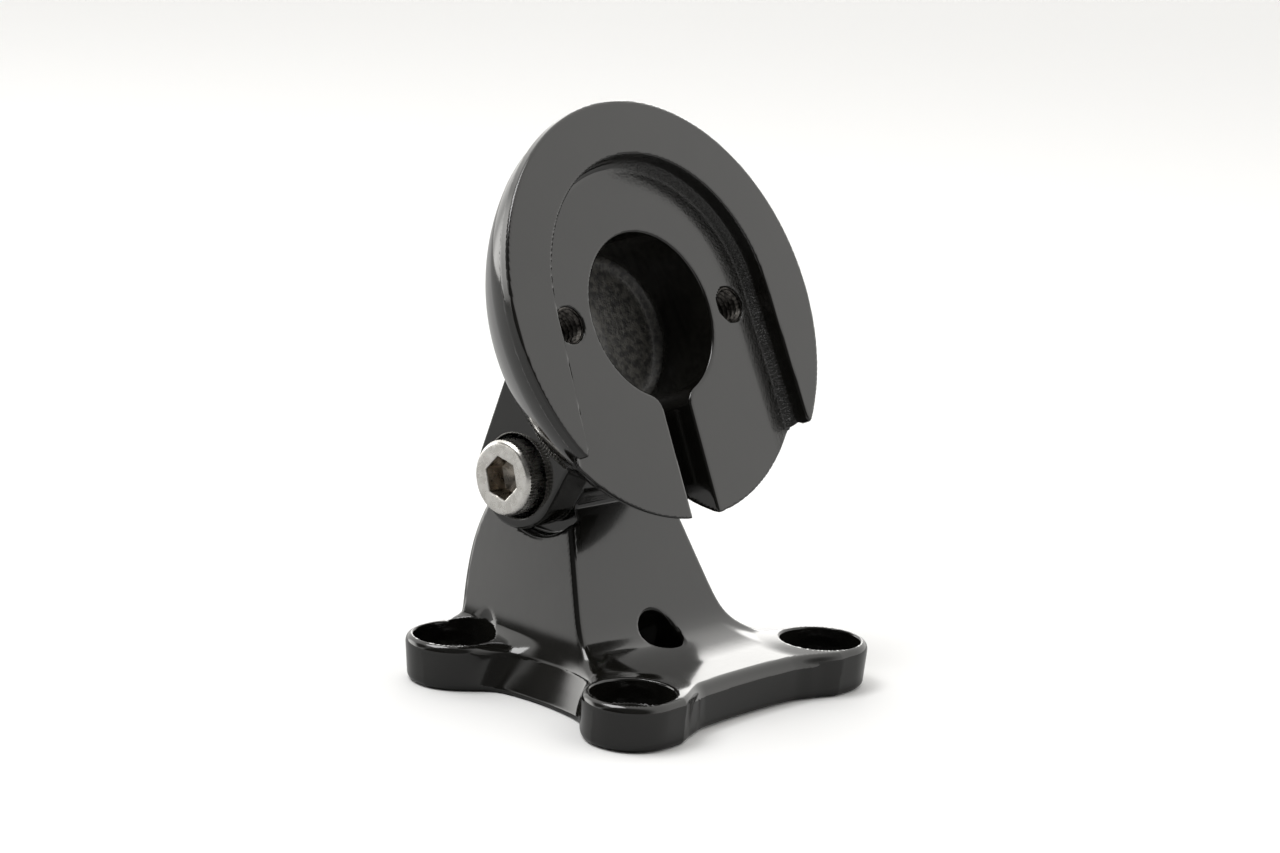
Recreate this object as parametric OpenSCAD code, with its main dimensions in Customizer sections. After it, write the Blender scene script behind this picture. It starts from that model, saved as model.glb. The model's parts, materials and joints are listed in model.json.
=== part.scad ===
// Tilting pedestal mount: a lobed base with a tower, a dished round head on a
// clevis, and one socket cap screw that is both the pivot and the clamp.
// X is the pivot axis, the head faces -Y and leans back, +Z is up, z = 0 is the
// underside of the base.

/* [Head] */
// outside diameter of the round face
face_d = 56; // [45:0.5:70]
// straight part of the rim behind the face
rim_t = 1.7; // [1:0.1:2.5]
// radius of the domed back
dome_r = 30.6; // [30:0.1:33]
// centre of the dome sphere in front of the face
dome_mid = 10.2; // [9.5:0.1:10.5]
// radius where the dome leaves the rim
dome_edge = 27.7; // [27.5:0.05:28]
// lean of the face away from vertical, degrees
tilt = 24.2; // [0:0.1:80]
// pivot axis behind the face
pivot_back = 21; // [18:0.1:26]
// pivot axis below the middle of the face
pivot_drop = 15.6; // [12:0.1:20]
// half width of the U-shaped seat
seat_r = 19.7; // [18:0.1:22]
// middle of the seat's arc above the middle of the face
seat_up = 0.6; // [0:0.1:2]
// how much each side of the seat opens towards the bottom, per mm
seat_flare = 0.055; // [0:0.005:0.1]
// depth of the seat below the face
seat_depth = 3.4; // [1:0.1:5]
// radius of the round well
well_r = 11.1; // [8:0.1:14]
// depth of the well below the seat
well_depth = 10; // [4:0.1:12]
// fillet at the foot of the well
well_fillet = 1.6; // [0.5:0.1:3]
// width of the cable slot
slot_w = 5; // [3:0.1:8]
// depth of the cable slot below the seat
slot_depth = 7; // [3:0.1:9]
// distance between the two tapped holes
tap_span = 31; // [26:0.1:36]
// core radius of the tapped holes (M5)
tap_r = 2.1; // [1.6:0.05:2.5]
// depth of the tapped holes below the seat
tap_depth = 8; // [5:0.5:9]

/* [Clevis] */
// radius of the round end of each ear
ear_r = 7; // [6:0.1:9]
// outer face of the ears from the middle plane
ear_out = 14.5; // [12:0.1:18]
// half width of the tongue on the tower
tongue_w = 8.5; // [6:0.1:10]
// radius of the round end of the tongue
tongue_r = 6.6; // [5:0.1:8]
// thickness of each friction washer
washer_t = 0.5; // [0.3:0.1:1]
// radius of the relief in the dome round the tongue
relief_r = 7.2; // [6:0.1:9]
// radius of the pocket in the tower sides that clears the ears
pocket_r = 8.5; // [7.3:0.1:10]

/* [Pivot screw] */
// radius of the screw shank (M6)
screw_r = 2.95; // [2:0.05:4]
// length under the head
screw_l = 30; // [24:1:36]
// radius of the screw head
head_r = 5; // [4:0.1:6.5]
// height of the screw head
head_h = 6; // [4:0.1:8]
// how far the head stands out of the ear
head_out = 2.5; // [0:0.1:6]
// width across the flats of the socket
socket_af = 5; // [3:0.5:8]
// depth of the socket
socket_d = 3; // [2:0.1:4]
// clearance round the shank in the castings
shank_gap = 0.08; // [0.02:0.01:0.1]
// width across the flats of the nut
nut_af = 10; // [8:0.5:13]
// height of the nut with its collar
nut_h = 6; // [4:0.1:8]

/* [Base] */
// hole distance across, along X
hole_x = 37.2; // [30:0.1:50]
// hole distance front to back, along Y
hole_y = 32; // [26:0.1:50]
// radius of each corner lobe
lobe_r = 6.5; // [5:0.1:9]
// height of the corner lobes
lobe_h = 6.2; // [5.5:0.1:8]
// height of the web between the lobes
web_h = 5.9; // [4:0.1:6.5]
// through hole radius
hole_r = 2.75; // [2:0.05:3.5]
// counterbore radius
cb_r = 5.4; // [4:0.1:6]
// counterbore depth
cb_d = 3.4; // [1:0.1:5]
// half width of the plate at the middle of its hollow sides, along X
waist_x = 19.2; // [17:0.1:21]
// half width of the plate at the middle of its hollow ends, along Y
waist_y = 18.9; // [17:0.1:21]
// how far the hollow sides lean in towards the tower, per mm of height
side_lean = 0.6; // [0.3:0.05:0.6]
// radius on the top edge of the plate
edge_r = 1.8; // [0.5:0.1:3]
// pivot axis from the middle of the base, along Y
pivot_y = 10.1; // [0:0.1:16]
// pivot axis above the underside
pivot_z = 28; // [20:0.1:40]
// radius of the cable hole
cable_r = 3.2; // [2:0.1:4]
// angle of the cable hole below the horizontal
cable_angle = 50; // [30:1:80]
// how high the cable hole meets the foot of the tower
cable_z = 7.6; // [6:0.1:12]

/* [Tower] */
// half width where the straight flanks would meet the underside
flank_w = 16; // [15:0.1:18]
// how far each flank draws in with height, per mm
flank_lean = 0.27; // [0.2:0.01:0.29]
// front of the tower at the height of the ears
front_y = 3.75; // [2:0.05:4.5]
// how far the front falls back with height, per mm
front_lean = 0.44; // [0.3:0.01:0.5]
// furthest back that the tower reaches
rear_y = 21.6; // [19:0.1:22]

/* [Hidden] */
$fn = 64;
e = 0.02;
black = [0.03, 0.03, 0.035];
steel = [0.78, 0.77, 0.75];
nylon = [0.86, 0.86, 0.83];
face_r = face_d / 2;
ear_in = tongue_w + washer_t;
head_under = ear_out + head_out - head_h;
hx = hole_x / 2;
hy = hole_y / 2;

// heights at which the outline of the tower is taken, closer together at its foot
tower_z = concat([for (i = [2:9]) i], [for (i = [5:14]) 2 * i]);
ears_z = 22;
bulge_z = 15;

// half width, front and back of the tower at a height: straight above, flared at the foot
function tower_w(z) = flank_w - flank_lean * z + 2.1 * exp(-z / 2.65);
function tower_front(z) = front_y - front_lean * (ears_z - z) - 1.65 * exp(0.857 * (7 - max(z, 4.6)));
function tower_rear(z) = rear_y - (z > bulge_z ? 0.03 : 0.014) * pow(z - bulge_z, 2);

function reversed(list) = [for (i = [len(list) - 1:-1:0]) list[i]];
// how far a round edge of radius edge_r on top of the plate has drawn in at a height
function eased(z) = let (d = max(0, z - web_h + edge_r)) edge_r - sqrt(max(0, edge_r * edge_r - d * d));

// the head stands on the pivot: local y = 0, z = 0 is the pivot axis
module on_pivot() {
    translate([0, pivot_y, pivot_z])
        rotate([-tilt, 0, 0])
            children();
}

// a frame on the face: +Z runs back into the head, +Y up the face
module on_face() {
    translate([0, -pivot_back, pivot_drop])
        rotate([-90, 0, 0])
            mirror([0, 1, 0])
                children();
}

module along_x(x0, x1, r) {
    translate([x0, 0, 0])
        rotate([0, 90, 0])
            cylinder(h = x1 - x0, r = r);
}

// plate between the lobes at one height, with four hollow sides
module plate_outline(z) {
    n = 12;
    ends = [for (i = [-n:n]) [hx * i / n, waist_y + 1.9 * pow(i / n, 2) - eased(z)]];
    sides = [for (i = [-n:n]) let (t = pow(i / n, 2))
                [waist_x + 3.4 * t - side_lean * z * (1 - t) - eased(z), hy * i / n]];
    polygon(concat([for (p = ends) [p[0], -p[1]]], sides, reversed(ends),
                   reversed([for (p = sides) [-p[0], p[1]]])));
}

module plate() {
    n = 3;
    step = web_h / n;
    for (i = [0:n - 1])
        translate([0, 0, i * step - (i > 0 ? e : 0)])
            linear_extrude(height = step + (i > 0 ? e : 0))
                plate_outline((i + 0.5) * step);
}

module tower_solid() {
    intersection() {
        // seen from the front
        translate([0, 40, 0])
            rotate([90, 0, 0])
                linear_extrude(height = 80)
                    polygon(concat([for (z = tower_z) [tower_w(z), z]],
                                   reversed([for (z = tower_z) [-tower_w(z), z]])));
        // seen from the side
        translate([-30, 0, 0])
            rotate([90, 0, 90])
                linear_extrude(height = 60)
                    polygon(concat([for (z = tower_z) [tower_front(z), z]],
                                   reversed([for (z = tower_z) [tower_rear(z), z]])));
    }
}

module base_pedestal() {
    color(black)
    difference() {
        union() {
            plate();
            for (sx = [-1, 1])
                for (sy = [-1, 1])
                    translate([sx * hx, sy * hy, 0])
                        cylinder(h = lobe_h, r = lobe_r);
            tower_solid();
            translate([0, pivot_y, pivot_z])
                along_x(-10, 10, tongue_r);
        }
        // tongue sides and the room for the ears
        for (s = [-1, 1])
            translate([s > 0 ? 0 : -12 - tongue_w, pivot_y, pivot_z])
                along_x(s > 0 ? tongue_w : 0, s > 0 ? tongue_w + 12 : 12, pocket_r);
        // pivot bore
        translate([0, pivot_y, pivot_z])
            along_x(-12, 12, screw_r + shank_gap);
        // fixing holes
        for (sx = [-1, 1])
            for (sy = [-1, 1])
                translate([sx * hx, sy * hy, 0]) {
                    translate([0, 0, -1])
                        cylinder(h = lobe_h + 2, r = hole_r);
                    translate([0, 0, lobe_h - cb_d])
                        cylinder(h = cb_d + 1, r = cb_r);
                }
        // cable hole from the foot of the tower down through the underside
        translate([0, -3.7, cable_z])
            rotate([-90 - cable_angle, 0, 0])
                translate([0, 0, -12])
                    cylinder(h = 30, r = cable_r);
    }
}

// dome half profile with the rim, radius against depth behind the face
module dome_profile() {
    n = 24;
    a0 = asin(dome_edge / dome_r);
    polygon(concat([[0, 0], [face_r - 0.25, 0], [face_r, 0.25], [face_r, rim_t - 0.25], [dome_edge, rim_t]],
                   [for (i = [0:n]) [dome_r * sin(a0 * (n - i) / n),
                                     dome_r * cos(a0 * (n - i) / n) - dome_mid]]));
}

module seat_outline() {
    fall = face_r + 3;
    union() {
        translate([0, seat_up])
            circle(r = seat_r);
        polygon([[-seat_r, seat_up], [-seat_r - seat_flare * fall, seat_up - fall],
                 [seat_r + seat_flare * fall, seat_up - fall], [seat_r, seat_up]]);
    }
}

module well_profile() {
    polygon(concat([[0, -1], [well_r + 0.5, -1], [well_r + 0.5, 0], [well_r, 0.6]],
                   [[well_r - 0.3, well_depth - well_fillet]],
                   [for (i = [1:6]) [well_r - 0.3 - well_fillet + well_fillet * cos(15 * i),
                                     well_depth - well_fillet + well_fillet * sin(15 * i)]],
                   [[0, well_depth]]));
}

// one ear in the plane across the pivot: the round end and the web to the dome
module ear_outline() {
    circle(r = ear_r);
    polygon([[ear_r * cos(45), ear_r * sin(45)],
             [ear_r * cos(45) - 11 * cos(45), ear_r * sin(45) + 11 * sin(45)],
             [-12, 13],
             [-12, 0.2],
             [-ear_r * cos(54), -ear_r * sin(54)]]);
}

module dish_head() {
    color(black)
    on_pivot()
    difference() {
        union() {
            on_face()
                rotate_extrude($fn = 96)
                    dome_profile();
            for (s = [-1, 1])
                translate([s > 0 ? ear_in : -ear_out, 0, 0])
                    rotate([90, 0, 90])
                        linear_extrude(height = ear_out - ear_in)
                            ear_outline();
        }
        on_face() {
            // U-shaped seat, open at the bottom
            translate([0, 0, -1])
                linear_extrude(height = seat_depth + 1)
                    seat_outline();
            // round well with the mouth eased
            translate([0, 0, seat_depth])
                rotate_extrude()
                    well_profile();
            // cable slot from the well out through the bottom edge
            translate([-slot_w / 2, -face_r - 3, 0])
                cube([slot_w, face_r, seat_depth + slot_depth]);
            // tapped holes
            for (s = [-1, 1])
                translate([s * tap_span / 2, 0, 0])
                    cylinder(h = seat_depth + tap_depth, r = tap_r);
        }
        // room for the tongue
        along_x(-ear_in, ear_in, relief_r);
        // screw: clearance, head pocket on one side, nut pocket on the other
        along_x(-20, 20, screw_r + shank_gap);
        along_x(-20, -head_under, head_r + 0.5);
        translate([head_under, 0, 0])
            rotate([0, 90, 0])
                cylinder(h = 10, r = (nut_af + 0.2) / sqrt(3), $fn = 6);
    }
}

module pivot_screw() {
    color(steel)
    on_pivot()
    difference() {
        union() {
            along_x(-ear_out - head_out + 0.35, -head_under, head_r);
            translate([-ear_out - head_out, 0, 0])
                rotate([0, 90, 0])
                    cylinder(h = 0.35, r1 = head_r - 0.3, r2 = head_r);
            along_x(-head_under - e, screw_l - head_under - 0.6, screw_r);
            translate([screw_l - head_under - 0.6, 0, 0])
                rotate([0, 90, 0])
                    cylinder(h = 0.6, r1 = screw_r, r2 = screw_r - 0.5);
        }
        translate([-ear_out - head_out - 1, 0, 0])
            rotate([0, 90, 0])
                cylinder(h = socket_d + 1, r = socket_af / sqrt(3), $fn = 6);
        translate([-ear_out - head_out + socket_d - e, 0, 0])
            rotate([0, 90, 0])
                cylinder(h = 0.9, r1 = socket_af / 2, r2 = 0);
    }
}

module pivot_nut() {
    color(steel)
    on_pivot()
    difference() {
        union() {
            translate([head_under, 0, 0])
                rotate([0, 90, 0])
                    cylinder(h = nut_h * 0.72, r = nut_af / sqrt(3), $fn = 6);
            along_x(head_under, head_under + nut_h, nut_af / 2 - 0.25);
        }
        along_x(head_under - 1, head_under + nut_h + 1, screw_r + 0.03);
        along_x(head_under + nut_h - 2.2, head_under + nut_h - 0.4, 4.1);
    }
}

module nut_insert() {
    color(nylon)
    on_pivot()
    difference() {
        along_x(head_under + nut_h - 2.18, head_under + nut_h - 0.42, 4.08);
        along_x(head_under, head_under + nut_h + 1, screw_r + 0.02);
    }
}

module washer(x0) {
    on_pivot()
    difference() {
        along_x(x0, x0 + washer_t - 0.06, tongue_r - 0.2);
        along_x(x0 - 1, x0 + 2, screw_r + shank_gap);
    }
}

module friction_washer_left() {
    color(nylon)
        washer(-tongue_w - washer_t + 0.03);
}

module friction_washer_right() {
    color(nylon)
        washer(tongue_w + 0.03);
}

base_pedestal();
dish_head();
pivot_screw();
pivot_nut();
nut_insert();
friction_washer_left();
friction_washer_right();
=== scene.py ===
"""Looks of the tilting pedestal mount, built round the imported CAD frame.

Both castings are made as signed distance fields, in millimetres, and meshed here, so that
every edge has the small radius that a coated casting has. The turned pieces are lathed.
"""
import json
import math

import bmesh
import bpy
import numpy as np
from mathutils import Matrix, Vector


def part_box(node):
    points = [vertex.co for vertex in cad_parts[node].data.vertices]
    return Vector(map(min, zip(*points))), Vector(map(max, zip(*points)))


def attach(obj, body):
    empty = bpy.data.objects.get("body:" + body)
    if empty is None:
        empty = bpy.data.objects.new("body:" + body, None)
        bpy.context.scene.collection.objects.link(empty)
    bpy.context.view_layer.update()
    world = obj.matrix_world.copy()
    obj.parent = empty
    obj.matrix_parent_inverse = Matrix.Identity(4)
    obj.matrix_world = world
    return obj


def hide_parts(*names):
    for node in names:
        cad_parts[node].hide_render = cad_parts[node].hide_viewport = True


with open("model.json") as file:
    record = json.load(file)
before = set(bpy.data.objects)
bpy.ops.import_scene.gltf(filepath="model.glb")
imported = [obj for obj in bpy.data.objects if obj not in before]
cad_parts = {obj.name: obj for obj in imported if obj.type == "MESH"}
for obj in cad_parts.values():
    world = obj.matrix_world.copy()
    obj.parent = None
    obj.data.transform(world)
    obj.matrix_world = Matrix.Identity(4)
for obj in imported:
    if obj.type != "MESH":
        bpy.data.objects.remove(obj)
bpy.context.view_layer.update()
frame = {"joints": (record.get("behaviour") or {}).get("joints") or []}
MM = 0.001

# ---------------------------------------------------------------- sizes, in millimetres
PIVOT = Vector(frame["joints"][0]["pos_m"]) / MM
TILT = math.radians(24.2)

FACE_R = 27.98
RIM_T = 1.7
DOME_R = 30.6
DOME_EDGE = 27.7          # radius where the dome leaves the rim
DOME_MID = -10.2          # centre of the dome sphere, measured back from the face
HORN_R = 1.6              # round tips of the rim beside the open end of the seat
FACE_BACK = 21.0          # pivot axis behind the face
FACE_UP = 15.6            # middle of the face above the pivot axis
SEAT_R = 20.1
SEAT_MID = -0.3           # middle of the seat, a little towards the screw
SEAT_UP = 0.6             # middle of the seat's arc above the middle of the face
SEAT_FLARE = 0.055        # how much each side of the seat opens towards the bottom
SEAT_D = 3.4
SEAT_FILLET = 1.5
EASED = 0.3               # radius on the edges of the face and the seat
WELL_FILLET = 1.8
WELL_DRAFT = 0.03         # how much the well narrows with depth, per mm
WELL_R = 11.1
WELL_D = SEAT_D + 10.0
SLOT_W = 5.0
SLOT_D = SEAT_D + 7.0
TAP_X = 15.45
TAP_R = 2.4
TAP_D = SEAT_D + 8.0

EAR_R = 7.0
EAR_OUT = 14.5
EAR_IN = 9.0
EAR_START = 9.0           # the ears stay this far behind the face
EAR_FRONT = math.radians(54)    # direction that the ear's front edge faces
EAR_WEB = (0.755, -0.656, 0.8)  # y and z of the normal, and offset, of the plane that ends the web
TONGUE_W = 8.5
TONGUE_R = 6.6
RELIEF_R = 7.2
POCKET_R = 8.5

HOLE_X = 18.6
HOLE_Y = 16.0
LOBE_R = 6.5
LOBE_H = 6.2
WEB_H = 5.9
EDGE_X = 22.1             # half-width of the plate at the lobes, between the outer rounds
EDGE_Y = 21.0             # half-depth of the plate at the lobes
WAIST_Y = 19.1            # half-depth of the plate at the middle of its front and back
LOBE_NECK = 4.0           # radius of the hollow between a lobe and the side of the plate
PLATE_DRAFT = 0.08        # how far the plate's sides lean in towards the bottom, per mm
CB_R = 5.4
CB_D = 3.4
HOLE_R = 2.75
CABLE_R = 3.2
TOWER_W = 16.2            # half-width where the straight flanks would meet the underside
FLANK_LEAN = 0.27         # how much each flank draws in with height, per mm
FLANK_TAPER = 0.05        # how much each flank draws in towards the back, per mm
SIDE_LEAN = 0.43          # how much more it leans below the bend
SIDE_BEND = 7.5           # height of the bend
SIDE_SOFT = 0.5           # height over which it bends
SPREAD_Z = 7.2            # height below which the flanks spread out to the lobes
SPREAD_H = 2.6            # height over which they do
FRONT_Y = 3.75            # front of the tower at the height FRONT_Z
FRONT_Z = 22.0
FRONT_LEAN = 0.44
FOOT_Z = 7.0              # height where the front has swept out by FOOT_OUT
FOOT_OUT = 1.65
FOOT_RATE = 0.857         # how fast the sweep grows downwards, per mm
FOOT_END = 4.6            # height below which it grows no more
CAST_TOP = 30             # height above which the flanks and the sweep change no more
REAR_Y = 21.6             # rearmost point of the tower
REAR_Z = 15.0
REAR_BOW = (0.014, 0.03)  # how hard the rear curves forward below and above REAR_Z, per mm
CABLE_ANGLE = math.radians(50)
CABLE_MOUTH = (-3.7, 7.6)  # y, z where its axis meets the foot of the tower
CABLE_TOP = 22            # the hole is not cut above this height

HEAD_R = 5.0
HEAD_H = 6.0
HEAD_FACE = -17.0
SOCKET_AF = 5.0
SOCKET_D = 3.0
SCREW_L = 30.0
SCREW_R = 2.95
THREAD_L = 14.0           # threaded length of the screw
SOCKET_TURN = TILT - 0.04  # how far the socket is turned about the pivot axis
KNURL_RIBS = 66
NUT_AF = 10.0
NUT_H = 6.0
SEAT_X = HEAD_FACE + HEAD_H   # under the head, and under the nut on the other side
SHANK_GAP = 0.12
HEAD_GAP = 0.5
NUT_GAP = 0.1

RING_PITCH = 0.00012      # spacing of the turning rings on the steel, in metres
DISH_BOX = ((-29, -22, -13.6), (29, 8, 45))  # where the dish head is meshed, in its own frame
CAST_PITCH = 0.33


# ---------------------------------------------------------------- distance field tools
def carve_round(a, b, r):
    """Common part of two fields, with a true radius r on the outside edge."""
    return np.minimum(np.maximum(a, b), -r) + np.hypot(np.maximum(a + r, 0), np.maximum(b + r, 0))


def join_round(a, b, r):
    """Both fields together, with a true radius r in the inside corner."""
    return -carve_round(-a, -b, r)


def cut_round(a, b, r):
    """a with b cut out of it, the edge rounded to r."""
    return carve_round(a, -b, r)


def smoothstep(t):
    t = np.clip(t, 0, 1)
    return t * t * (3 - 2 * t)


def surface_net(field, low, high, pitch):
    """Closed quad mesh of field == 0 inside a box: points, quads and the field's normals."""
    low, high = np.array(low, float), np.array(high, float)
    n = np.ceil((high - low) / pitch).astype(int) + 1
    ax = [(low[i] + pitch * np.arange(n[i])).astype(np.float32) for i in range(3)]
    value = field(*np.meshgrid(*ax, indexing="ij")).astype(np.float32)
    inside = value < 0
    corner = [(i, j, k) for i in (0, 1) for j in (0, 1) for k in (0, 1)]

    def at(grid, c):
        return grid[c[0]:n[0] - 1 + c[0], c[1]:n[1] - 1 + c[1], c[2]:n[2] - 1 + c[2]]

    filled = sum(at(inside, c).astype(np.int8) for c in corner)
    live = (filled > 0) & (filled < 8)
    cells = np.argwhere(live)
    number = np.full(live.shape, -1, np.int64)
    number[live] = np.arange(len(cells))
    total = np.zeros((len(cells), 3))
    hits = np.zeros(len(cells))
    for a in corner:
        for axis in range(3):
            if a[axis]:
                continue
            b = tuple(1 if i == axis else a[i] for i in range(3))
            fa, fb = at(value, a)[live], at(value, b)[live]
            cross = (fa < 0) != (fb < 0)
            t = np.where(cross, fa / np.where(cross, fa - fb, 1), 0)
            point = np.tile(np.array(a, float), (len(cells), 1))
            point[:, axis] += t
            total += point * cross[:, None]
            hits += cross
    points = low + (cells + total / hits[:, None]) * pitch

    quads = []
    for axis in range(3):
        u, v = (axis + 1) % 3, (axis + 2) % 3
        size = list(n)
        size[axis] -= 1
        first = [slice(None)] * 3
        last = [slice(None)] * 3
        first[axis], last[axis] = slice(0, -1), slice(1, None)
        s0, s1 = inside[tuple(first)], inside[tuple(last)]
        edges = np.argwhere(s0 != s1)
        keep = (edges[:, u] > 0) & (edges[:, v] > 0) & (edges[:, u] < n[u] - 1) & (edges[:, v] < n[v] - 1)
        edges = edges[keep]
        ring = []
        for du, dv in ((-1, -1), (0, -1), (0, 0), (-1, 0)):
            cell = edges.copy()
            cell[:, u] += du
            cell[:, v] += dv
            ring.append(number[tuple(cell.T)])
        ring = np.stack(ring, 1)
        flip = ~s0[tuple(edges.T)]
        ring[flip] = ring[flip][:, ::-1]
        quads.append(ring)
    quads = np.concatenate(quads)

    def slope(p, step):
        out = np.empty_like(p)
        for i in range(3):
            d = np.zeros(3)
            d[i] = step
            out[:, i] = (field(*(p + d).T) - field(*(p - d).T)) / (2 * step)
        return out

    # pull the points onto the surface, but not out of their cells
    for _ in range(4):
        g = slope(points, 0.02)
        f = field(*points.T)
        move = g * (f / np.maximum((g * g).sum(1), 0.05))[:, None]
        points -= np.clip(move, -0.4 * pitch, 0.4 * pitch)
    normals = slope(points, 0.06)
    normals /= np.maximum(np.linalg.norm(normals, axis=1), 1e-9)[:, None]
    return points, quads, normals


def new_mesh(name, points, faces, normals=None):
    """Mesh object from points in the row frame, in millimetres."""
    mesh = bpy.data.meshes.new(name)
    mesh.from_pydata((np.asarray(points) * MM).tolist(), [], faces)
    mesh.update()
    mesh.polygons.foreach_set("use_smooth", [True] * len(mesh.polygons))
    if normals is not None:
        mesh.normals_split_custom_set_from_vertices(normals.tolist())
    obj = bpy.data.objects.new(name, mesh)
    bpy.context.scene.collection.objects.link(obj)
    return obj


def lean(points):
    """From the head's own frame, on the pivot and upright, to the row frame at rest."""
    c, s = math.cos(TILT), math.sin(TILT)
    x, y, z = np.asarray(points, float).T
    return np.stack([x, y * c + z * s, z * c - y * s], 1)


def on_pivot(points):
    return lean(points) + np.array(PIVOT)


# ---------------------------------------------------------------- the two castings
def head_field(x, y, z):
    """The dish head. Local frame: x along the pivot, face towards -y, z up the face."""
    v = z - FACE_UP
    w = y + FACE_BACK
    r = np.hypot(x, v)
    across = np.abs(x)
    side = r - FACE_R
    rim = carve_round(side, w - RIM_T, 0.25)
    dome = carve_round(np.hypot(r, w - DOME_MID) - DOME_R, r - DOME_EDGE, 1.0)
    dome = np.maximum(dome, RIM_T - 0.6 - w)
    body = join_round(rim, dome, 0.15)

    # clevis ears: a round end, and a web that runs forward and up into the dome
    back = (y + z) * math.sqrt(0.5) - EAR_R
    front = -y * math.cos(EAR_FRONT) - z * math.sin(EAR_FRONT) - EAR_R
    web = np.maximum(np.maximum(back, front), EAR_WEB[0] * y + EAR_WEB[1] * z - EAR_WEB[2])
    plan = np.minimum(np.hypot(y, z) - EAR_R, web)
    mid = (EAR_OUT + EAR_IN) / 2
    ear = carve_round(plan, np.abs(across - mid) - (EAR_OUT - EAR_IN) / 2, 0.5)
    ear = np.maximum(ear, EAR_START - w)
    body = join_round(body, ear, 1.0)

    # face, and the U-shaped seat open at the bottom
    rise = v - SEAT_UP
    off = x - SEAT_MID
    u_shape = np.where(rise > 0, np.hypot(off, rise), np.abs(off) + SEAT_FLARE * rise) - SEAT_R
    raised = np.where(v > 0, -u_shape, carve_round(side - 0.3, -u_shape, HORN_R))
    wall = join_round(raised, SEAT_D - w, SEAT_FILLET)
    solid = carve_round(body, -w, EASED)
    solid = carve_round(solid, wall, EASED)

    # well and cable slot
    well = carve_round(r - WELL_R + WELL_DRAFT * (w - SEAT_D), w - WELL_D, WELL_FILLET)
    slot = np.maximum(carve_round(across - SLOT_W / 2, w - SLOT_D, 0.6), v + 5)
    solid = cut_round(solid, join_round(well, slot, WELL_FILLET), 0.4)

    # tapped holes
    tap = np.maximum(np.hypot(across - TAP_X, v) - TAP_R, w - TAP_D - 1)
    solid = cut_round(solid, tap, 0.2)

    # room for the tongue, screw bore, pockets for the screw head and the nut
    axis = np.hypot(y, z)
    solid = cut_round(solid, np.maximum(axis - RELIEF_R, across - EAR_IN), 0.4)
    solid = cut_round(solid, axis - SCREW_R - SHANK_GAP, 0.2)
    solid = cut_round(solid, np.maximum(axis - HEAD_R - HEAD_GAP, x - SEAT_X), 0.35)
    hexagon = np.maximum(np.abs(z), np.abs(y) * math.cos(math.pi / 6) + np.abs(z) / 2)
    solid = cut_round(solid, np.maximum(hexagon - NUT_AF / 2 - NUT_GAP, -SEAT_X - x), 0.25)
    return solid


def base_field(x, y, z):
    """The base casting, in the row frame: four-lobed plate, tower and tongue.

    zb is the height, kept inside the casting so that the fields stay tame outside it.
    """
    across = np.abs(x)
    zb = np.clip(z, 0, CAST_TOP)

    # the flanks of the tower run down into the hollow sides of the plate as one surface
    foot = FOOT_OUT * np.exp(FOOT_RATE * (FOOT_Z - np.clip(z, FOOT_END, CAST_TOP)))
    front = FRONT_Y - FRONT_LEAN * (FRONT_Z - z) - foot
    half = TOWER_W - FLANK_LEAN * zb - FLANK_TAPER * np.maximum(y - front, 0)
    half = half + SIDE_LEAN * SIDE_SOFT * np.log1p(np.exp((SIDE_BEND - zb) / SIDE_SOFT))
    along_x = np.minimum(np.abs(y) / HOLE_Y, 1.1) ** 2
    hollow_x = across - half - (EDGE_X - half) * along_x * smoothstep((SPREAD_Z - z) / SPREAD_H)

    # plate with four lobes
    lobe = np.hypot(across - HOLE_X, np.abs(y) - HOLE_Y)
    along_y = np.minimum(across / HOLE_X, 1.1) ** 2
    hollow_y = np.abs(y) - WAIST_Y - (EDGE_Y - WAIST_Y) * along_y
    corner = (across - HOLE_X + np.abs(y) - HOLE_Y) * math.sqrt(0.5) - 0.5
    middle = np.maximum(np.maximum(hollow_x, hollow_y), corner)
    plan = join_round(lobe - LOBE_R, middle, LOBE_NECK) + PLATE_DRAFT * (LOBE_H - zb)
    outer = smoothstep((lobe - 4.5) / 5.0)
    top = z - LOBE_H + (LOBE_H - WEB_H) * outer
    solid = carve_round(plan, top, 1.0 + 0.3 * outer)

    # tower, with its front swept out at the foot
    brow = (front - y) / np.sqrt(1 + (FRONT_LEAN + FOOT_RATE * foot) ** 2)
    side_slope = FLANK_LEAN + SIDE_LEAN * smoothstep((SIDE_BEND + 1 - z) / 2)
    flank = hollow_x / np.sqrt(1 + side_slope ** 2)
    bow = np.where(z > REAR_Z, REAR_BOW[1], REAR_BOW[0])
    rear = (y - REAR_Y + bow * (z - REAR_Z) ** 2) / np.sqrt(1 + (2 * bow * (z - REAR_Z)) ** 2)
    tower = carve_round(carve_round(flank, brow, 0.7), rear, 0.9)
    tower = np.maximum(tower, z - PIVOT.z)
    axis = np.hypot(y - PIVOT.y, z - PIVOT.z)
    tongue = np.maximum(axis - TONGUE_R, across - TONGUE_W)
    tower = join_round(tower, tongue, 0.5)
    tower = cut_round(tower, carve_round(axis - POCKET_R, TONGUE_W - across, 0.3), 0.4)
    solid = join_round(solid, tower, 1.2 - 0.9 * smoothstep((across - 11) / 3))
    solid = carve_round(solid, -z, 0.9)

    # screw bore, fixing holes with counterbores, cable hole
    solid = cut_round(solid, axis - SCREW_R - SHANK_GAP, 0.2)
    solid = cut_round(solid, np.maximum(lobe - CB_R, LOBE_H - CB_D - z), 0.35)
    solid = cut_round(solid, lobe - HOLE_R, 0.2)
    along = math.cos(CABLE_ANGLE), -math.sin(CABLE_ANGLE)
    dy, dz = y - CABLE_MOUTH[0], z - CABLE_MOUTH[1]
    cable = np.hypot(x, dy * along[1] - dz * along[0]) - CABLE_R
    return cut_round(solid, np.maximum(cable, z - CABLE_TOP), 0.5)


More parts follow.
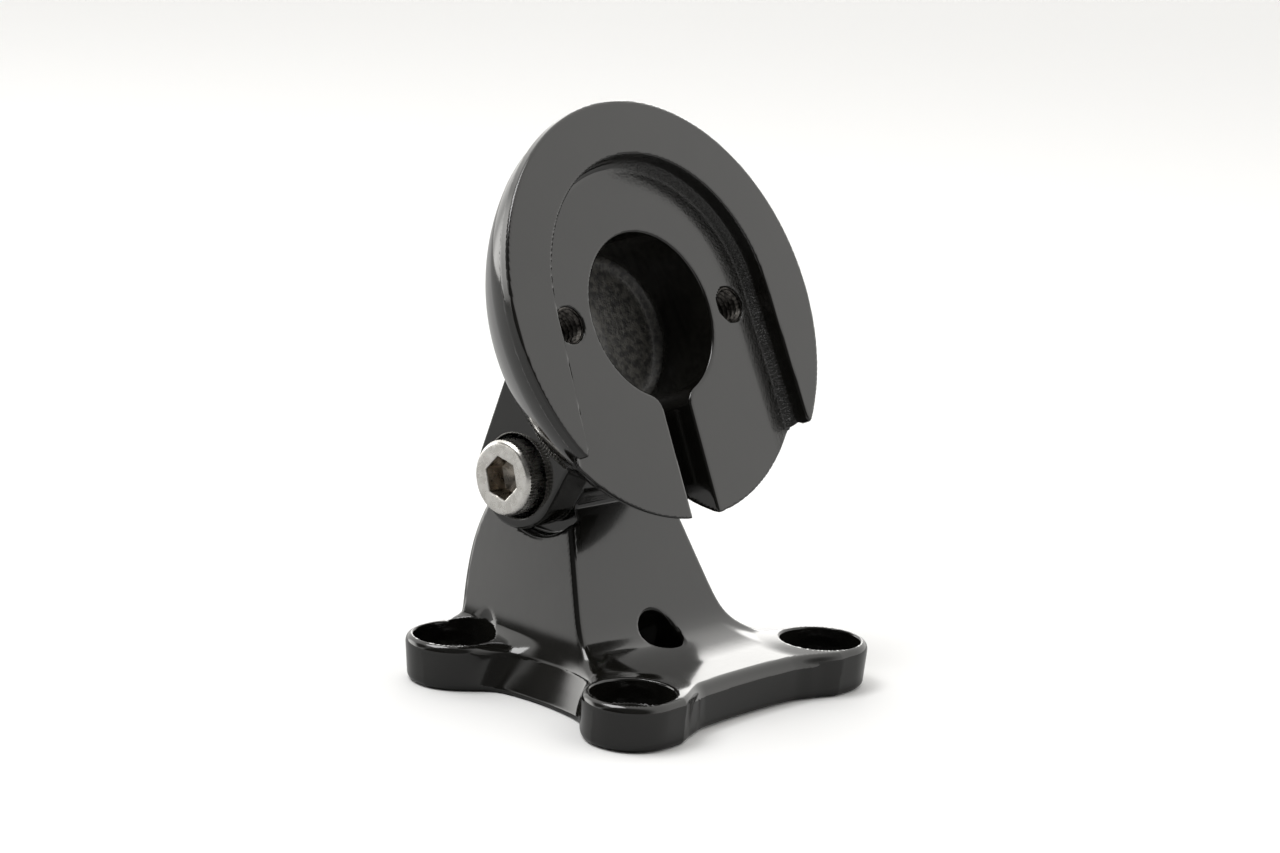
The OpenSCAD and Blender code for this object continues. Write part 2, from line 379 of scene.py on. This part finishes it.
# ---------------------------------------------------------------- turned pieces
def lathe(rings, n, closed=False):
    """Points and faces of rings round the pivot axis. A ring is (x, radius), where the radius
    may be a function of the angle; radius 0 at an end closes it with a point."""
    angle = np.arange(n) * 2 * math.pi / n
    points, rows = [], []
    for x, radius in rings:
        r = radius(angle) if callable(radius) else np.full(n, float(radius))
        xs = x(angle) if callable(x) else np.full(n, float(x))
        if not callable(radius) and radius == 0:
            rows.append([len(points)] * n)
            points.append((float(xs[0]), 0, 0))
            continue
        rows.append(list(range(len(points), len(points) + n)))
        points.extend(zip(xs, r * np.cos(angle), r * np.sin(angle)))
    faces = []
    pairs = list(zip(rows, rows[1:]))
    if closed:
        pairs.append((rows[-1], rows[0]))
    for a, b in pairs:
        for i in range(n):
            j = (i + 1) % n
            quad = [a[i], a[j], b[j], b[i]]
            face = [q for k, q in enumerate(quad) if q != quad[k - 1]]
            if len(face) > 2:
                faces.append(face)
    return np.array(points), faces


def hexagon_radius(flats):
    def radius(angle):
        return flats / 2 / np.cos((angle % (math.pi / 3)) - math.pi / 6)
    return radius


def turned_piece(name, body, nodes, shells, place=on_pivot):
    """One piece from lathed shells, riding on a body and standing for its CAD nodes."""
    points, faces = [], []
    for shell_points, shell_faces in shells:
        faces += [[i + sum(map(len, points)) for i in f] for f in shell_faces]
        points.append(place(shell_points))
    obj = new_mesh(name, np.concatenate(points), faces)
    fix_outward(obj)
    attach(obj, body)
    if nodes:
        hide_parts(*nodes)
    return obj


def fix_outward(obj):
    bm = bmesh.new()
    bm.from_mesh(obj.data)
    bmesh.ops.recalc_face_normals(bm, faces=bm.faces)
    bm.to_mesh(obj.data)
    bm.free()
    obj.data.set_sharp_from_angle(angle=math.radians(35))


def thread(x, root, crest, pitch, phase=0.0):
    """Radius round the angle of a 60-degree thread at station x."""
    def radius(angle):
        t = (x / pitch - angle / (2 * math.pi) + phase) % 1.0
        rise = np.clip(1.15 - 2.6 * np.abs(t - 0.5), 0, 1)
        rise = rise * rise * (3 - 2 * rise) * 0.35 + rise * 0.65
        return root + (crest - root) * rise
    return radius


def knurl(depth):
    def radius(angle):
        return HEAD_R - 0.02 - depth * (0.5 - 0.5 * np.cos(angle * KNURL_RIBS)) ** 1.4
    return radius


def socket_screw():
    """M6 cap screw: hexagon socket, chamfered face, knurled head, threaded end."""
    flats = hexagon_radius(SOCKET_AF)

    def hexagon(scale=1.0, plus=0.0, least=0.0):
        return lambda angle: np.maximum(flats(angle + SOCKET_TURN) * scale + plus, least)

    f = HEAD_FACE
    rings = [(f + SOCKET_D + 1.1, 0), (f + SOCKET_D + 0.35, 1.3), (f + SOCKET_D, hexagon(0.97))]
    rings += [(f + SOCKET_D * t, hexagon()) for t in (0.97, 0.6, 0.3, 0.12, 0.07)]
    rings += [(f + 0.03, hexagon(plus=0.08, least=2.62)), (f, hexagon(plus=0.14, least=2.72))]
    rings += [(f, r) for r in np.linspace(3.05, 4.45, 6)]
    rings += [(f + 0.05, 4.62), (f + 0.16, 4.76), (f + 0.34, 4.88), (f + 0.42, 4.93)]
    rings += [(f + 0.5, knurl(0.05)), (f + 0.62, knurl(0.15)), (f + 0.8, knurl(0.19))]
    rings += [(f + t, knurl(0.19)) for t in (2.0, 3.5, 5.1)]
    rings += [(f + 5.35, knurl(0.08)), (f + 5.5, 4.86), (f + 5.8, 4.7), (f + HEAD_H, 4.5)]
    rings += [(f + HEAD_H, SCREW_R + 0.05), (f + HEAD_H + 0.4, SCREW_R - 0.2), (f + HEAD_H + 0.4, 0)]
    head = lathe(rings, 8 * KNURL_RIBS)

    end = SEAT_X + SCREW_L
    start = end - THREAD_L
    rings = [(SEAT_X - 0.5, 0), (SEAT_X - 0.5, SCREW_R - 0.1)]
    rings += [(SEAT_X, SCREW_R), (start - 0.6, SCREW_R)]
    for i in range(int((end - 0.7 - start) / 0.1) + 1):
        x = start + 0.1 * i
        depth = min(1.0, (x - start) / 1.2, (end - x) / 1.0)
        crest = SCREW_R - 0.25 * max(0, 1 - (end - x) / 1.2)
        rings.append((x, thread(x, SCREW_R - 0.5 * depth, crest, 1.0)))
    rings += [(end - 0.35, 2.45), (end - 0.05, 2.2), (end, 2.0), (end, 0)]
    shank = lathe(rings, 64)
    return turned_piece("pivot_screw_piece", "head", ["pivot_screw"], [head, shank])


def lock_nut():
    """M6 nut with 30-degree chamfers and a round collar rolled over the nylon ring."""
    flats = hexagon_radius(NUT_AF)
    s = -SEAT_X

    def hexagon(limit):
        return lambda angle: np.minimum(flats(angle), limit)

    rings = [(s + 0.02, 3.3), (s + 0.02, hexagon(5.0)), (s + 0.25, hexagon(5.4)), (s + 0.5, hexagon(5.85))]
    rings += [(s + t, hexagon(9)) for t in (1.5, 3.0, 3.75)]
    rings += [(s + 4.0, hexagon(5.5)), (s + 4.25, hexagon(5.05)), (s + 4.4, 4.78)]
    rings += [(s + 4.5, 4.7), (s + 5.2, 4.7), (s + 5.6, 4.6), (s + 5.85, 4.35)]
    rings += [(s + NUT_H, 4.0), (s + NUT_H, 3.75), (s + 5.85, 3.65)]
    rings += [(s + 5.62, 3.65), (s + 5.62, 4.1), (s + 3.8, 4.1), (s + 3.8, SCREW_R + 0.04)]
    rings += [(s + 0.5, SCREW_R + 0.04)]
    nut = lathe(rings, 96, closed=True)
    return turned_piece("pivot_nut_piece", "head", ["pivot_nut"], [nut])


def ring_piece(name, body, slot_name, nodes, x0, x1, inner, outer, ease):
    rings = [(x0, inner + ease), (x0, outer - ease), (x0 + ease * 0.3, outer - ease * 0.3),
             (x0 + ease, outer), (x1 - ease, outer), (x1 - ease * 0.3, outer - ease * 0.3),
             (x1, outer - ease), (x1, inner + ease), (x1 - ease, inner), (x0 + ease, inner)]
    return turned_piece(name, body, nodes, [lathe(rings, 96, closed=True)])


def tapped_wall(name, x):
    """M5 thread of one face hole: a sleeve with the helix cut in its bore."""
    pitch = 0.8
    start, depth = 0.32, TAP_D - SEAT_D
    rings = [(start, TAP_R + 0.03), (depth, TAP_R + 0.03)]
    bore = []
    steps = int((depth - 0.35) / (pitch / 10))
    for i in range(steps + 1):
        a = start + i * pitch / 10
        fade = min(1.0, a / 0.9)
        bore.append((a, thread(a, TAP_R - 0.02, TAP_R - 0.02 - 0.4 * fade, pitch, 0.3)))
    rings += bore[::-1]

    def place(p):
        a, b, c = p.T
        return on_pivot(np.stack([x + b, a - FACE_BACK + SEAT_D, c + FACE_UP], 1))
    return turned_piece(name, "head", [], [lathe(rings, 56, closed=True)], place)


def casting(name, body, node, field, low, high, place, rotate):
    points, quads, normals = surface_net(field, low, high, CAST_PITCH)
    obj = new_mesh(name, place(points), quads.tolist(), rotate(normals))
    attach(obj, body)
    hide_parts(node)
    return obj, points


# ---------------------------------------------------------------- materials
def material(name, **sockets):
    mat = bpy.data.materials.new(name)
    mat.use_nodes = True
    shader = mat.node_tree.nodes["Principled BSDF"]
    for key, value in sockets.items():
        shader.inputs[key.replace("_", " ")].default_value = value
    return mat, mat.node_tree, shader


def add(tree, kind, links=(), **values):
    """A node with its properties, its input values and the links into it."""
    node = tree.nodes.new(kind)
    for key, value in values.items():
        if hasattr(node, key):
            setattr(node, key, value)
        else:
            node.inputs[key.replace("_", " ")].default_value = value
    for socket, source in links:
        tree.links.new(source, node.inputs[socket])
    return node


def ramp(tree, source, stops):
    node = add(tree, "ShaderNodeValToRGB", [("Fac", source)])
    elements = node.color_ramp.elements
    while len(elements) < len(stops):
        elements.new(0.5)
    for element, (place, colour) in zip(elements, stops):
        element.position = place
        element.color = (*colour, 1)
    return node.outputs["Color"]


def grey(v):
    return (v, v, v)


def noise(tree, where, scale, detail, **values):
    """How bright a noise of so many grains per metre is."""
    node = add(tree, "ShaderNodeTexNoise", [("Vector", where)], Scale=scale, Detail=detail, **values)
    return node.outputs["Fac"]


def mask_of(tree, name):
    """A value that point_mask stored in the mesh, 0 where the mesh has none."""
    return add(tree, "ShaderNodeAttribute", attribute_name=name).outputs["Fac"]


def blend(tree, mask, plain, masked):
    """The colour plain where the mask is 0 and masked where it is 1."""
    mix = add(tree, "ShaderNodeMix", data_type="RGBA")
    for i, source in ((0, mask), (6, plain), (7, masked)):
        tree.links.new(source, mix.inputs[i])
    return mix.outputs[2]


def gloss_black():
    """Powder coat over a casting: faint orange peel, and a rougher skin where the mask says."""
    mat, tree, shader = material("gloss_black_coat", Specular_IOR_Level=0.6, Coat_Weight=0.3,
                                 Coat_Roughness=0.05, Coat_IOR=1.5)
    where = add(tree, "ShaderNodeTexCoord").outputs["Object"]
    mask = mask_of(tree, "rough_skin_and_socket_shade")
    cloud = noise(tree, where, 160, 3)
    pits = noise(tree, where, 1500, 4, Roughness=0.65)
    blotch = noise(tree, where, 1150, 4)
    peel = noise(tree, where, 750, 2)
    sand = noise(tree, where, 3200, 2)

    coat = ramp(tree, cloud, [(0.35, (0.006, 0.0057, 0.0048)), (0.65, (0.009, 0.0086, 0.0073))])
    skin = ramp(tree, blotch, [(0.4, (0.012, 0.0115, 0.010)), (0.6, (0.085, 0.081, 0.071))])
    tree.links.new(blend(tree, mask, coat, skin), shader.inputs["Base Color"])

    smooth = ramp(tree, cloud, [(0.3, grey(0.09)), (0.7, grey(0.14))])
    coarse = ramp(tree, pits, [(0.3, grey(0.3)), (0.7, grey(0.6))])
    tree.links.new(blend(tree, mask, smooth, coarse), shader.inputs["Roughness"])

    grain = mask_of(tree, "grain")
    sand = add(tree, "ShaderNodeMath", [(0, sand), (1, grain)], operation="MULTIPLY").outputs[0]
    grit = add(tree, "ShaderNodeBump", [("Height", sand)], Strength=1.0, Distance=0.0004)
    fine = add(tree, "ShaderNodeBump", [("Height", peel), ("Normal", grit.outputs["Normal"])],
               Strength=0.12, Distance=0.00004)
    deep = add(tree, "ShaderNodeMath", [(0, pits), (1, mask)], operation="MULTIPLY").outputs[0]
    bump = add(tree, "ShaderNodeBump", [("Height", deep), ("Normal", fine.outputs["Normal"])],
               Strength=0.6, Distance=0.00025)
    tree.links.new(bump.outputs["Normal"], shader.inputs["Normal"])
    return mat


def turned_steel():
    """Stainless steel with fine turning rings round the pivot axis, darker and browner where it is masked:
    painted shade in the socket.
    """
    mat, tree, shader = material("turned_stainless", Metallic=1.0, Anisotropic=0.2)
    where = add(tree, "ShaderNodeTexCoord").outputs["Object"]
    centred = add(tree, "ShaderNodeVectorMath", [(0, where)], operation="SUBTRACT")
    centred.inputs[1].default_value = (0, PIVOT.y * MM, PIVOT.z * MM)
    flat = add(tree, "ShaderNodeVectorMath", [(0, centred.outputs[0])], operation="MULTIPLY")
    flat.inputs[1].default_value = (0, 1, 1)
    radius = add(tree, "ShaderNodeVectorMath", [(0, flat.outputs[0])], operation="LENGTH").outputs["Value"]
    wave = add(tree, "ShaderNodeMath", operation="MULTIPLY")
    tree.links.new(radius, wave.inputs[0])
    wave.inputs[1].default_value = 2 * math.pi / RING_PITCH
    rings = add(tree, "ShaderNodeMath", [(0, wave.outputs[0])], operation="SINE").outputs[0]
    stain = noise(tree, where, 900, 5)
    bright = ramp(tree, stain, [(0.3, (0.68, 0.66, 0.62)), (0.7, (0.88, 0.865, 0.83))])
    # painted shade: the darker, browner steel of the socket walls
    socket_shade = ramp(tree, stain, [(0.3, (0.30, 0.27, 0.23)), (0.7, (0.50, 0.46, 0.41))])
    tree.links.new(blend(tree, mask_of(tree, "rough_skin_and_socket_shade"), bright, socket_shade), shader.inputs["Base Color"])
    rough = ramp(tree, stain, [(0.3, grey(0.2)), (0.75, grey(0.38))])
    tree.links.new(rough, shader.inputs["Roughness"])
    scuff = add(tree, "ShaderNodeBump", [("Height", stain)], Strength=0.35, Distance=0.00003)
    bump = add(tree, "ShaderNodeBump", [("Height", rings), ("Normal", scuff.outputs["Normal"])],
               Strength=0.25, Distance=0.000004)
    tree.links.new(bump.outputs["Normal"], shader.inputs["Normal"])
    return mat


def bare_thread():
    """Metal of the threads in the tapped holes, coloured dark as painted shade inside the holes, with a
    random lighter mottle.
    """
    mat, tree, shader = material("bare_thread", Metallic=1.0)
    where = add(tree, "ShaderNodeTexCoord").outputs["Object"]
    mottle = noise(tree, where, 2500, 3)
    # painted shade: bare metal coloured near black inside the holes
    tree.links.new(ramp(tree, mottle, [(0.35, (0.03, 0.028, 0.026)), (0.65, (0.16, 0.15, 0.14))]),
                   shader.inputs["Base Color"])
    tree.links.new(ramp(tree, mottle, [(0.3, grey(0.25)), (0.7, grey(0.45))]), shader.inputs["Roughness"])
    bump = add(tree, "ShaderNodeBump", [("Height", mottle)], Strength=0.4, Distance=0.00003)
    tree.links.new(bump.outputs["Normal"], shader.inputs["Normal"])
    return mat


def nylon():
    """Natural nylon, slightly cloudy."""
    mat, tree, shader = material("natural_nylon", Subsurface_Weight=0.15, Subsurface_Scale=0.001)
    where = add(tree, "ShaderNodeTexCoord").outputs["Object"]
    cloud = noise(tree, where, 600, 3)
    tree.links.new(ramp(tree, cloud, [(0.3, (0.72, 0.71, 0.66)), (0.7, (0.80, 0.79, 0.75))]),
                   shader.inputs["Base Color"])
    tree.links.new(ramp(tree, cloud, [(0.3, grey(0.4)), (0.7, grey(0.55))]), shader.inputs["Roughness"])
    bump = add(tree, "ShaderNodeBump", [("Height", cloud)], Strength=0.15, Distance=0.00003)
    tree.links.new(bump.outputs["Normal"], shader.inputs["Normal"])
    return mat


def point_mask(obj, name, values):
    """Store one value per vertex, which the materials read by its name."""
    attribute = obj.data.attributes.new(name, "FLOAT", "POINT")
    attribute.data.foreach_set("value", np.asarray(values, np.float32))


# ---------------------------------------------------------------- build
black = gloss_black()
steel = turned_steel()
plastic = nylon()

dish, p = casting("dish_head_piece", "head", "dish_head", head_field, *DISH_BOX, on_pivot, lean)

# rougher skin on the floor of the well, and grain along the right of the seat's fillet
u, v, w = p[:, 0], p[:, 2] - FACE_UP, p[:, 1] + FACE_BACK
floor_skin = smoothstep((w - WELL_D + 2.6) / 1.8) * smoothstep((WELL_R - np.hypot(u, v)) / 1.0)
floor_skin *= (w < WELL_D + 0.3)
arc = np.where(v > SEAT_UP, np.hypot(u, v - SEAT_UP), np.abs(u) + SEAT_FLARE * (v - SEAT_UP))
fillet_skin = smoothstep((arc - SEAT_R + 4.4) / 2.6) * smoothstep((w - SEAT_D + SEAT_FILLET) / 1.0)
fillet_skin *= (w < SEAT_D + 0.2) * smoothstep((u + 4) / 12)
point_mask(dish, "rough_skin_and_socket_shade", floor_skin)
point_mask(dish, "grain", fillet_skin)
dish.data.materials.append(black)

low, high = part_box("base_pedestal")
pedestal, p = casting("base_pedestal_piece", "base", "base_pedestal", base_field,
                      tuple(c / MM - 1 for c in low), tuple(c / MM + 1 for c in high),
                      np.asarray, np.asarray)
pedestal.data.materials.append(black)

screw = socket_screw()
screw.data.materials.append(steel)

# the walls of the socket get a darker, browner colour than the rest of the screw: painted shade in the
# recess
p = np.array([tuple(vertex.co) for vertex in screw.data.vertices]) / MM
in_socket = np.hypot(p[:, 1] - PIVOT.y, p[:, 2] - PIVOT.z) < 2.95
in_socket &= (p[:, 0] > HEAD_FACE + 0.1) & (p[:, 0] < HEAD_FACE + SOCKET_D + 1.2)
point_mask(screw, "rough_skin_and_socket_shade", in_socket)
lock_nut().data.materials.append(steel)
nut_seat = -SEAT_X
ring_piece("nut_insert_piece", "head", "nylon", ["nut_insert"], nut_seat + 3.84, nut_seat + 5.58,
           SCREW_R + 0.02, 4.07, 0.15).data.materials.append(plastic)
for side, name in ((-1, "left"), (1, "right")):
    ends = sorted((side * (TONGUE_W + 0.03), side * (EAR_IN - 0.03)))
    ring_piece(f"friction_washer_{name}_piece", "head", "nylon", [f"friction_washer_{name}"],
               *ends, SCREW_R + 0.08, TONGUE_R - 0.2, 0.08).data.materials.append(plastic)
thread_metal = bare_thread()
for side, name in ((-1, "left"), (1, "right")):
    tapped_wall(f"face_thread_{name}", side * TAP_X).data.materials.append(thread_metal)

# ---------------------------------------------------------------- studio
VIEW_AZIMUTH = -48.2
VIEW_ELEVATION = 11.85
VIEW_ROLL = -2.93
VIEW_DISTANCE = 0.3413
VIEW_AIM = Vector((-0.00197, -0.00005, 0.03485))
VIEW_LENS = 73.7
FLOOR_HALF = 4.0
TENT_LEVEL = 1.25
TENT_DARKEST = 0.05
# direction of each patch, cosine of the angles where it starts and is full, change of level
TENT = [((-0.61, 0.653, 0.42), (0.93, 0.985), -1.15),
        ((0.74, 0.64, 0.2), (0.975, 0.996), 2.2),
        ((-0.75, -0.5, 0.3), (0.4, 0.78), -1.15),
        ((-0.99, 0.06, 0.02), (0.86, 0.96), -1.15),
        ((-0.3, 0.95, 0.06), (0.9, 0.985), 2.2)]


def camera():
    a, e, roll = (math.radians(d) for d in (VIEW_AZIMUTH, VIEW_ELEVATION, VIEW_ROLL))
    back = Vector((math.sin(a) * math.cos(e), -math.cos(a) * math.cos(e), math.sin(e)))
    right = Vector((0, 0, 1)).cross(back).normalized()
    up = back.cross(right)
    right, up = (math.cos(roll) * right - math.sin(roll) * up, math.sin(roll) * right + math.cos(roll) * up)
    data = bpy.data.cameras.new("camera")
    data.lens = VIEW_LENS
    data.sensor_width = 36
    data.clip_start = 0.01
    data.clip_end = 50
    cam = bpy.data.objects.new("camera", data)
    m = Matrix((right, up, back)).transposed().to_4x4()
    m.translation = VIEW_AIM + back * VIEW_DISTANCE
    cam.matrix_world = m
    bpy.context.scene.collection.objects.link(cam)
    bpy.context.scene.camera = cam


def area_light(name, place, target, size, power):
    data = bpy.data.lights.new(name, "AREA")
    data.shape = "RECTANGLE"
    data.size, data.size_y = size
    data.energy = power
    light = bpy.data.objects.new(name, data)
    light.location = place
    light.rotation_euler = (Vector(target) - Vector(place)).to_track_quat("-Z", "Y").to_euler()
    bpy.context.scene.collection.objects.link(light)


def pale_paper():
    """White paper to look at, that throws back less light than it seems to."""
    mat, tree, shader = material("floor_paper", Roughness=0.9)
    seen = add(tree, "ShaderNodeLightPath").outputs["Is Camera Ray"]
    tree.links.new(ramp(tree, seen, [(0.0, grey(0.36)), (1.0, grey(0.9))]), shader.inputs["Base Color"])
    return mat


def soft_tent():
    """White tent round the object, with darker and brighter patches that its coat reflects."""
    world = bpy.data.worlds.new("studio")
    world.use_nodes = True
    tree = world.node_tree
    shade = tree.nodes["Background"]
    ray = add(tree, "ShaderNodeTexCoord").outputs["Generated"]
    glow = add(tree, "ShaderNodeMath", operation="ADD")
    glow.inputs[0].default_value = 0
    glow.inputs[1].default_value = TENT_LEVEL
    for centre, reach, level in TENT:
        aim = Vector(centre).normalized()
        dot = add(tree, "ShaderNodeVectorMath", [(0, ray)], operation="DOT_PRODUCT")
        dot.inputs[1].default_value = aim
        patch = add(tree, "ShaderNodeMapRange", [("Value", dot.outputs["Value"])], From_Min=reach[0],
                    From_Max=reach[1], To_Min=0.0, To_Max=level, interpolation_type="SMOOTHSTEP").outputs[0]
        glow = add(tree, "ShaderNodeMath", [(0, glow.outputs[0]), (1, patch)], operation="ADD")
    glow = add(tree, "ShaderNodeMath", [(0, glow.outputs[0])], operation="MAXIMUM")
    glow.inputs[1].default_value = TENT_DARKEST
    seen = add(tree, "ShaderNodeLightPath").outputs["Is Camera Ray"]
    plain = add(tree, "ShaderNodeMix", [(0, seen), (2, glow.outputs[0])], data_type="FLOAT")
    plain.inputs[3].default_value = TENT_LEVEL
    shade.inputs["Color"].default_value = (1, 0.99, 0.965, 1)
    tree.links.new(plain.outputs[0], shade.inputs["Strength"])
    bpy.context.scene.world = world


def studio():
    bpy.context.scene.view_settings.view_transform = "Standard"
    mesh = bpy.data.meshes.new("floor")
    s = FLOOR_HALF
    mesh.from_pydata([(-s, -s, 0), (s, -s, 0), (s, s, 0), (-s, s, 0)], [], [(0, 1, 2, 3)])
    floor = bpy.data.objects.new("floor", mesh)
    bpy.context.scene.collection.objects.link(floor)
    mesh.materials.append(pale_paper())
    soft_tent()
    area_light("key", (-0.35, 0.25, 0.9), (0, 0, 0.03), (0.5, 0.5), 5)


camera()
studio()
